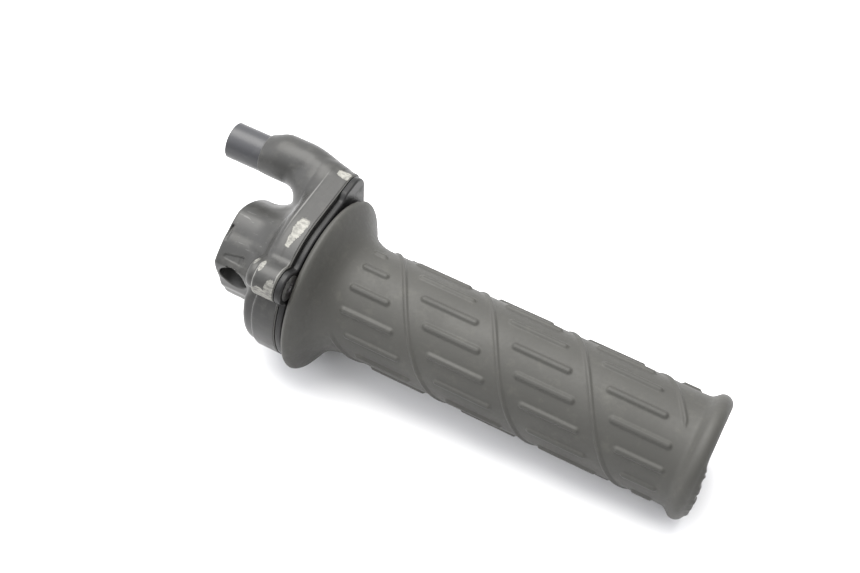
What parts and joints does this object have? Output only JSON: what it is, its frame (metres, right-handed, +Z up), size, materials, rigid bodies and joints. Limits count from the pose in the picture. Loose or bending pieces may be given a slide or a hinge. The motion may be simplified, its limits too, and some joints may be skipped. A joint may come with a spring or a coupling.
{
  "type": "throttle grip",
  "caption": "Motorcycle twist throttle: cast housing with bar clamp and cable elbow, and a ribbed rubber grip with a bell flange on a turning tube.",
  "frame": {"origin": "on the handlebar axis, in the middle of the clamp bore", "axes": "+X along the handlebar towards the grip's free end, +Z up as the part lies, rider on the -Y side"},
  "size_m": [0.1684, 0.0566, 0.0563],
  "materials": {
    "housing_paint": "satin black paint, worn to bare alloy in places",
    "cover_paint": "satin black paint",
    "gasket_rubber": "matte black",
    "screw_steel": "worn steel",
    "wedge_steel": "machined steel",
    "washer_steel": "plain steel",
    "clamp_screw_steel": "blackened steel",
    "elbow_paint": "satin blue-black",
    "sleeve_paint": "satin blue-black",
    "seal_rubber": "matte black",
    "tube_plastic": "moulded nylon",
    "drum_plastic": "moulded nylon",
    "washer_plastic": "low-friction plastic",
    "outer_washer_plastic": "low-friction plastic",
    "grip_rubber": "matte aged rubber"
  },
  "bodies": {
    "housing": {"housing_body": "housing_paint", "housing_cover": "cover_paint", "cover_gasket": "gasket_rubber", "cover_screws": "screw_steel", "clamp_wedge": "wedge_steel", "clamp_washer": "washer_steel", "clamp_screw": "clamp_screw_steel", "cable_elbow_tube": "elbow_paint", "cable_inlet_sleeve": "sleeve_paint", "cover_seal": "seal_rubber"},
    "twist_grip": {"throttle_tube": "tube_plastic", "cable_drum": "drum_plastic", "drum_inner_washer": "washer_plastic", "drum_outer_washer": "outer_washer_plastic", "grip_rubber": "grip_rubber"}
  },
  "joints": [
    {"name": "throttle_twist", "type": "hinge", "parent": "housing", "child": "twist_grip", "pos_m": [0, 0, 0], "axis": [1, 0, 0], "range_deg": [0, 80]}
  ]
}
